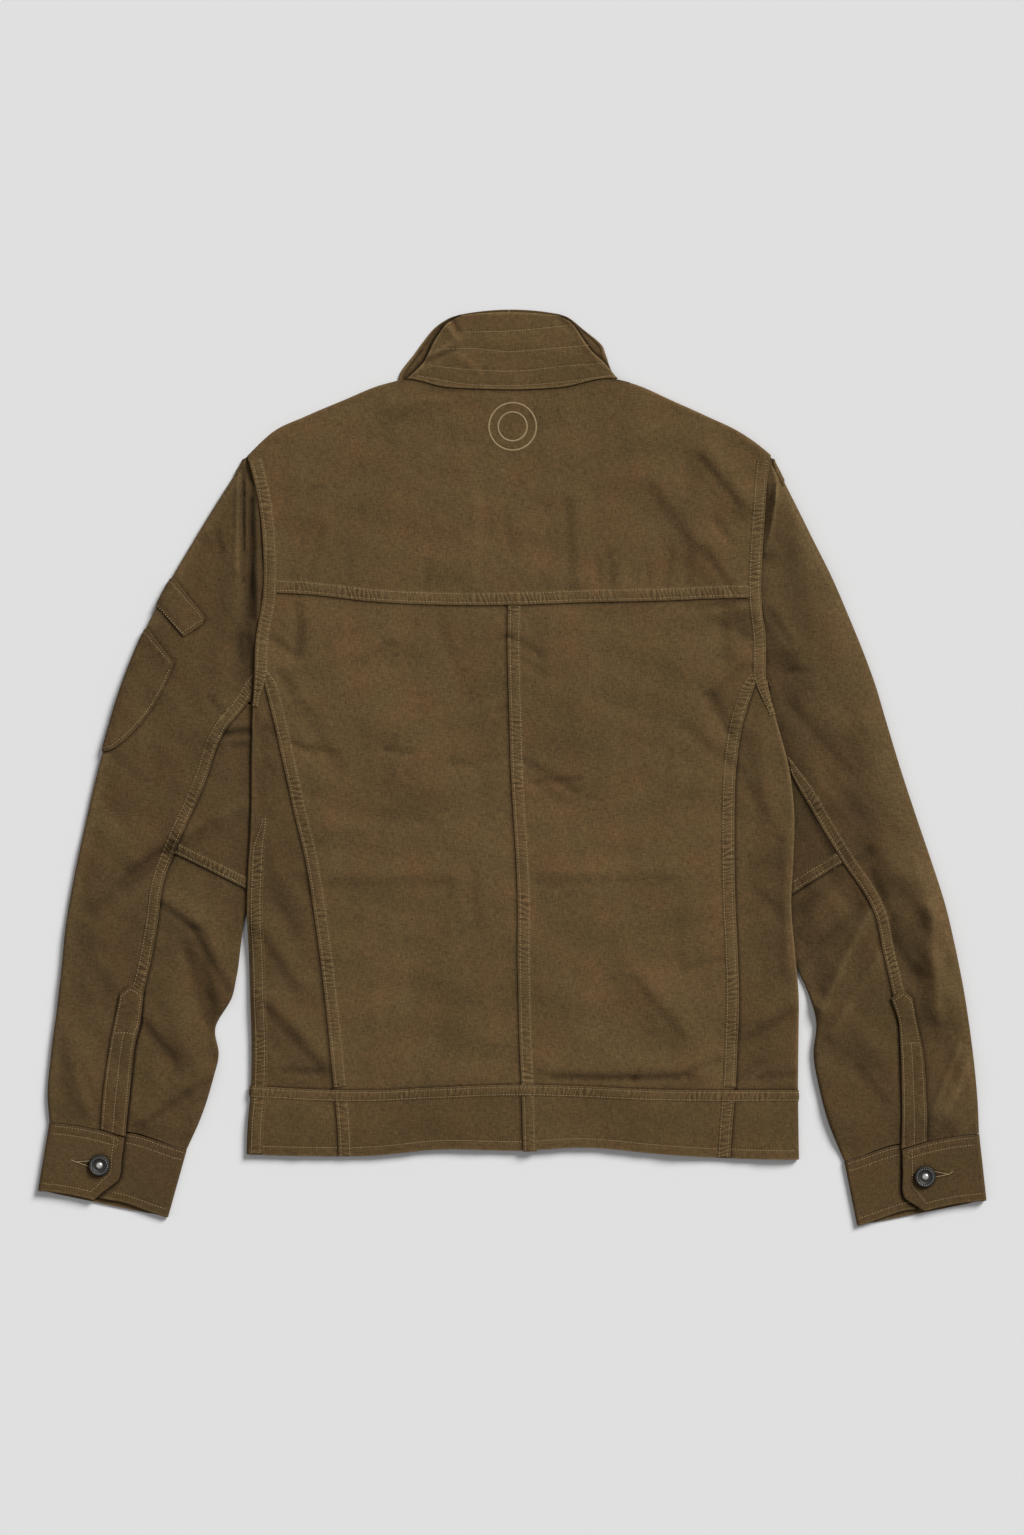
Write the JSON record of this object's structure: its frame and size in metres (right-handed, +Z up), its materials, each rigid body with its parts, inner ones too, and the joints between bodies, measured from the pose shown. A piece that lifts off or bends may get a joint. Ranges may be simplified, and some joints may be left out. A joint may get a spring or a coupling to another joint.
{
  "type": "field jacket",
  "caption": "Waist-length cotton canvas field jacket laid flat on its front: yoke, princess seams, stand collar, banded hem, buttoned cuffs and a sleeve pocket.",
  "frame": {"origin": "centre of the outline's box, on the surface that the jacket lies on", "axes": "+X across the jacket to the wearer's right sleeve, +Y from hem to collar, +Z up out of its back"},
  "size_m": [0.8244, 0.7965, 0.0112],
  "materials": {
    "canvas": "garment-washed cotton canvas, matt, olive brown",
    "canvas_band": "the same canvas in two stiffened plies, slightly darker",
    "button_metal": "aged gunmetal plating, rubbed bright on the rims"
  },
  "bodies": {
    "root": {"back_left": "canvas", "back_right": "canvas", "back_side_left": "canvas", "back_side_right": "canvas", "back_yoke": "canvas", "button_left": "button_metal", "button_right": "button_metal", "collar_back": "canvas", "collar_front_left": "canvas", "collar_front_right": "canvas", "cuff_left": "canvas_band", "cuff_right": "canvas_band", "front_left": "canvas", "front_right": "canvas", "hem_back_left": "canvas_band", "hem_back_right": "canvas_band", "hem_front_left": "canvas_band", "hem_front_right": "canvas_band", "hem_side_left": "canvas_band", "hem_side_right": "canvas_band", "placket_left": "canvas", "placket_right": "canvas", "sleeve_left_top": "canvas", "sleeve_left_under_lower": "canvas", "sleeve_left_under_upper": "canvas", "sleeve_pocket": "canvas", "sleeve_pocket_flap": "canvas", "sleeve_right_top": "canvas", "sleeve_right_under_lower": "canvas", "sleeve_right_under_upper": "canvas"}
  },
  "joints": []
}
